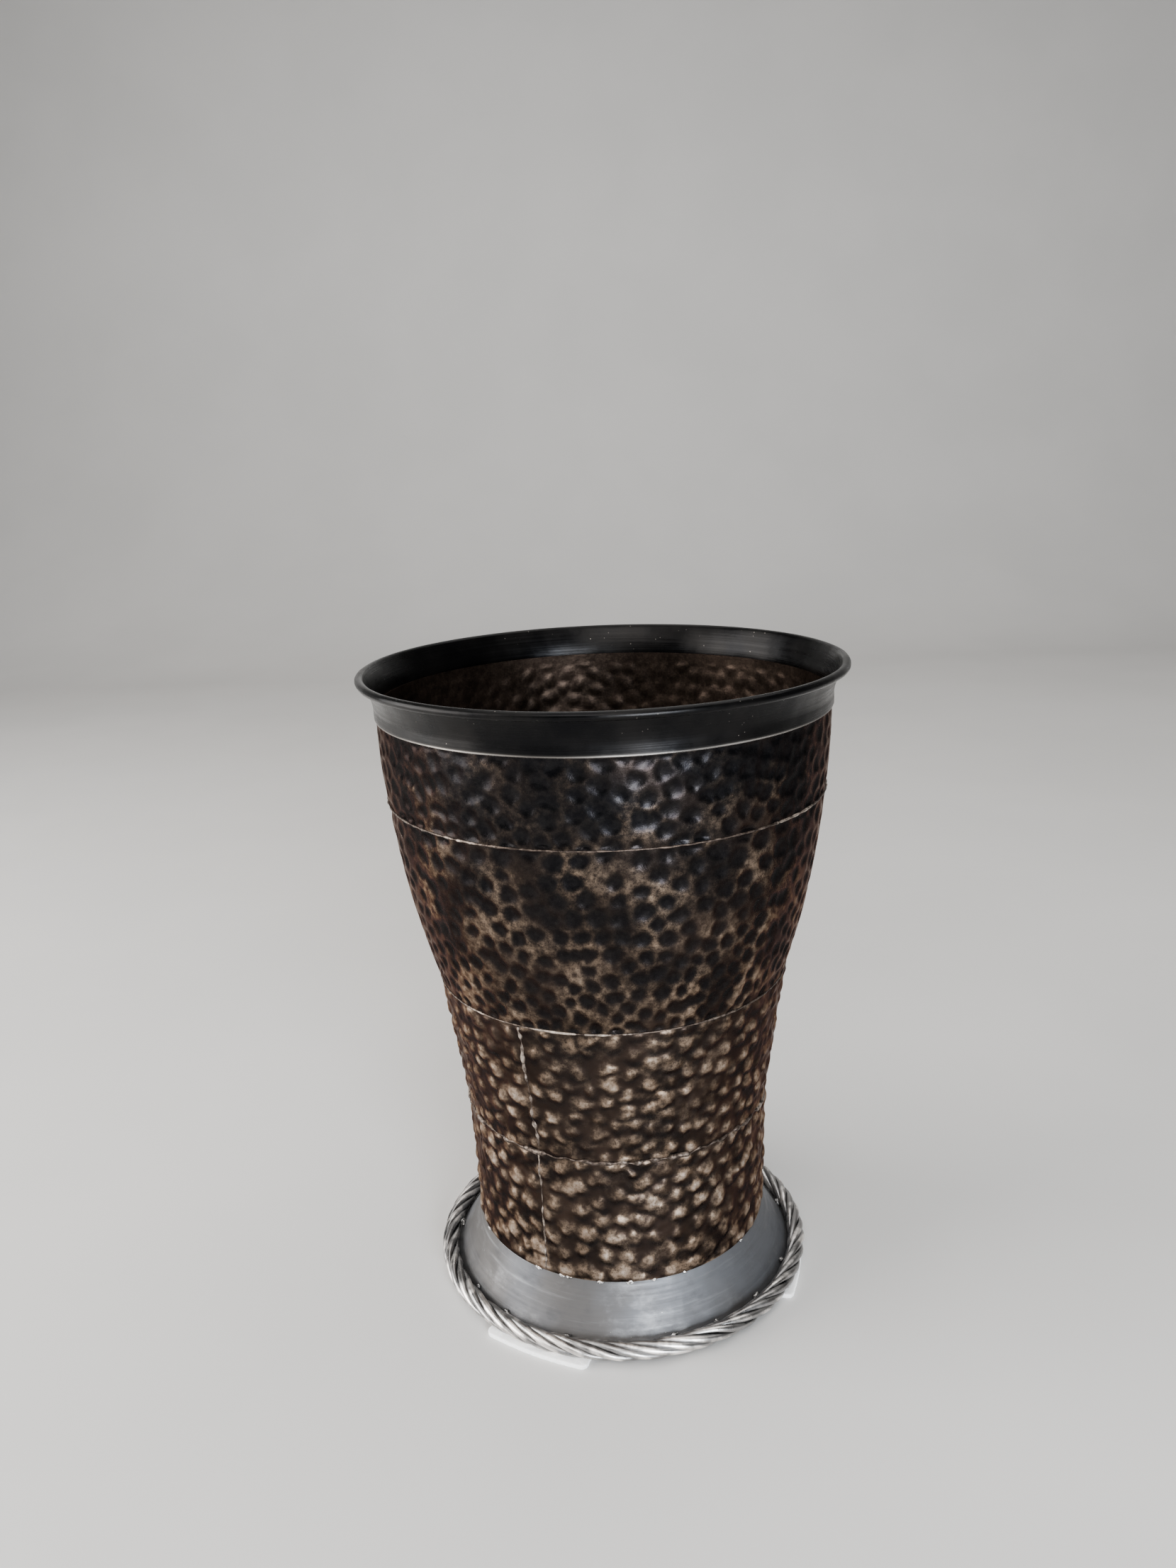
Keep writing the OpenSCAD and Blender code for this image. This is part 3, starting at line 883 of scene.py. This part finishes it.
ROPE_TURNS = 9  # twists that a strand makes on its way round
ROPE_STRANDS = 5
STRAND_RADIUS = 2.3 * MM  # a little more than the CAD strands', so that the grooves close
STRAND_RINGS = 540
STRAND_SIDES = 18


def make_rope(material):
    """Each strand winds round the rope's own centre line, as its CAD node does."""
    low = np.min([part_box(f"rope_strand_{k + 1}")[0] for k in range(ROPE_STRANDS)], 0)
    high = np.max([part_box(f"rope_strand_{k + 1}")[1] for k in range(ROPE_STRANDS)], 0)
    rope_r = (high[2] - low[2]) / 2
    rope_z = (high[2] + low[2]) / 2
    ring = high[0] - rope_r
    offset = rope_r - STRAND_RADIUS
    angle = angles(STRAND_RINGS)
    for k in range(ROPE_STRANDS):
        twist = TURN / ROPE_STRANDS * k - ROPE_TURNS * angle
        twist = twist + 0.07 * ripple(angle, 0, ring, 60 * MM, 700 + k)
        outward = np.stack([np.cos(angle), np.sin(angle), 0 * angle], -1)
        along = np.stack([-np.sin(angle), np.cos(angle), 0 * angle], -1)
        up = np.array([0.0, 0.0, 1.0])
        lift = np.cos(twist)[:, None] * outward + np.sin(twist)[:, None] * up
        turn = -np.sin(twist)[:, None] * outward + np.cos(twist)[:, None] * up
        run = ring + offset * np.cos(twist)
        tangent = run[:, None] * along - offset * ROPE_TURNS * turn
        tangent /= np.linalg.norm(tangent, axis=1)[:, None]
        side = np.cross(tangent, lift)
        a = angles(STRAND_SIDES)[:, None, None]
        size = STRAND_RADIUS * (1 + 0.03 * ripple(angle, 0, ring, 14 * MM, 720 + k))[None, :, None]
        flat = 1 - 0.06 * np.clip(np.cos(a), 0, 1) ** 2
        points = (
            ring * outward + rope_z * up + offset * lift
            + size * (np.cos(a) * flat * lift + np.sin(a) * side)
        )
        crown = smooth_step(np.cos(angles(STRAND_SIDES)), -0.35, 1.0)[:, None]
        polish = 0.84 + 0.14 * ripple(angle, 0, ring, 26 * MM, 740 + k)[None, :]
        wear = np.clip(crown * polish, 0, 1)
        faces = grid_faces(STRAND_SIDES, STRAND_RINGS)[:, ::-1]
        piece = add_mesh(f"visual_strand_{k + 1}", points.reshape(-1, 3), faces, material, wear, sharp=80)
        finish_piece(piece, f"rope_strand_{k + 1}")


# ---- The floor of the pot ----


def make_floor_plate(material):
    """A slightly sunk floor with the soft unevenness of planishing."""
    low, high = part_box("floor_plate")
    edge = high.x
    rows = 60
    cols = 240
    hub = 0.4 * MM
    sunk = 0.4 * MM
    out = np.linspace(hub, edge, rows)[:, None]
    theta = angles(cols)[None, :]
    x = out * np.cos(theta)
    y = out * np.sin(theta)
    uneven = 0.12 * MM * ripple(x, y, 1, 34 * MM, 801) + 0.05 * MM * ripple(x, y, 1, 13 * MM, 802)
    fade = smooth_step(edge - out, 0, 8 * MM)
    top = high.z - sunk * fade + uneven * fade * smooth_step(out, 0, 4 * MM)
    radius = np.vstack([np.broadcast_to(out, top.shape), np.broadcast_to(out[::-1], top.shape)])
    level = np.vstack([np.minimum(top, high.z), np.full(top.shape, low.z)])
    points = round_points(radius, level, theta[0])
    faces = [tuple(f)[::-1] for f in grid_faces(2 * rows, cols, join_rows=False)]
    faces.append(tuple(reversed(range(cols))))
    faces.append(tuple((2 * rows - 1) * cols + i for i in range(cols)))
    piece = add_mesh("visual_floor_plate", points, faces, material)
    finish_piece(piece, "floor_plate")


# ---- The felt pads ----

FELT_VOXEL = 0.55 * MM
FELT_SWAY = 1.5 * MM  # scales both of the noises below
FELT_FLATNESS = 0.6  # how much less the felt moves up and down than sideways


def make_felt(number, material):
    """A felt strip cut by hand: its CAD outline, matted and a little uneven."""
    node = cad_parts[f"felt_pad_{number}"]
    data = node.data.copy()
    data.name = f"visual_felt_{number}"
    piece = bpy.data.objects.new(data.name, data)
    bpy.context.collection.objects.link(piece)
    remesh = piece.modifiers.new("remesh", "REMESH")
    remesh.mode = "VOXEL"
    remesh.voxel_size = FELT_VOXEL
    bpy.context.view_layer.update()
    graph = bpy.context.evaluated_depsgraph_get()
    solid = bpy.data.meshes.new_from_object(piece.evaluated_get(graph))
    piece.modifiers.clear()
    piece.data = solid
    low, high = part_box(f"felt_pad_{number}")
    normals = [v.normal.copy() for v in solid.vertices]
    for vert, normal in zip(solid.vertices, normals):
        sway = noise.noise(vert.co * 260) * 0.16 + noise.noise(vert.co * 900) * 0.12
        move = normal * (sway * FELT_SWAY)
        vert.co += Vector((move.x, move.y, move.z * FELT_FLATNESS))
        vert.co.z = min(max(vert.co.z, low.z), high.z)
    solid.update()
    solid.shade_smooth()
    solid.materials.clear()
    solid.materials.append(material)
    finish_piece(piece, f"felt_pad_{number}")


# ---- The studio ----


def make_stage(material):
    """A pale floor that curves up behind the pot."""
    width = 9.0
    near = -3.0
    far = 3.4
    tall = 4.0
    bend = 1.2
    line = [(near, 0.0), (far - bend, 0.0)]
    for a in np.linspace(0, math.pi / 2, 24)[1:]:
        line.append((far - bend + bend * math.sin(a), bend - bend * math.cos(a)))
    line.append((far, tall))
    points = np.array([(x, y, z) for y, z in line for x in (-width, width)])
    faces = [(2 * i, 2 * i + 1, 2 * i + 3, 2 * i + 2) for i in range(len(line) - 1)]
    floor = add_mesh("studio_floor", points, faces, material)


def add_lamp(name, place, aim, size, power, colour):
    data = bpy.data.lights.new(name, "AREA")
    data.shape = "RECTANGLE"
    data.size, data.size_y = size
    data.energy = power
    data.color = colour
    lamp = bpy.data.objects.new(name, data)
    away = Vector(place) - Vector(aim)
    lamp.matrix_world = Matrix.Translation(place) @ away.to_track_quat("Z", "Y").to_matrix().to_4x4()
    bpy.context.collection.objects.link(lamp)


def light_stage():
    middle = (0, 0, 0.2)
    add_lamp("window", (0.70, -2.05, 0.52), middle, (0.75, 0.90), 98, (0.88, 0.94, 1.0))
    add_lamp("high_front", (-0.3, -1.55, 1.75), middle, (1.2, 0.8), 26, (1.0, 0.97, 0.93))
    add_lamp("left_window", (-2.1, -0.30, 0.75), middle, (1.9, 1.6), 122, (1.0, 0.985, 0.96))
    add_lamp("top_fill", (0.2, 0.3, 2.6), middle, (3.0, 3.0), 72, (1.0, 0.99, 0.97))
    world = bpy.data.worlds.new("studio")
    world.use_nodes = True
    background = world.node_tree.nodes["Background"]
    background.inputs["Color"].default_value = (0.78, 0.76, 0.74, 1)
    background.inputs["Strength"].default_value = 0.22
    bpy.context.scene.world = world


# ---- Everything together ----


def main():
    add_camera()
    make_stage(pale_floor())
    light_stage()
    patina = patina_metal()
    dark = smooth_dark_metal()
    pewter = pewter_metal()
    solder = solder_metal()
    lowest, second, third, highest = make_bands(patina)
    make_seam("waist_solder_bead", lowest, second, solder, lump=1.3, seed=401, wear_level=0.0)
    make_seam("middle_seam_wire", second, third, solder, lump=0.25, seed=402, wear_level=0.20)
    make_seam("shoulder_seam_wire", third, highest, solder, lump=0.35, seed=403, wear_level=0.08)
    make_lap_joint(1, lowest, solder, width=1.9 * MM, proud=0.7 * MM, rough=0.25, shine=0.55)
    make_lap_joint(2, second, solder, width=2.4 * MM, proud=1.0 * MM, rough=0.9, shine=0.42)
    make_lap_joint(3, third, solder, width=2.2 * MM, proud=0.5 * MM, rough=0.45, shine=0.26)
    make_lap_joint(4, highest, solder, width=2.2 * MM, proud=0.5 * MM, rough=0.45, shine=0.26)
    make_collar(dark)
    make_foot(pewter)
    make_rope(rope_metal())
    tin = tin_metal()
    make_blobs("foot_solder", tin, squash=1.5, shine=0.55, seed=11)
    make_blobs("rope_solder", tin, squash=1.7, shine=0.12, seed=12)
    make_floor_plate(dark)
    felt = white_felt()
    for number in (1, 2, 3, 4):
        make_felt(number, felt)
    for name, material in (("rim_wire", dark), ("foot_base_ring", pewter), ("floor_solder", solder)):
        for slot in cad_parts[name].material_slots:
            slot.material = material


main()
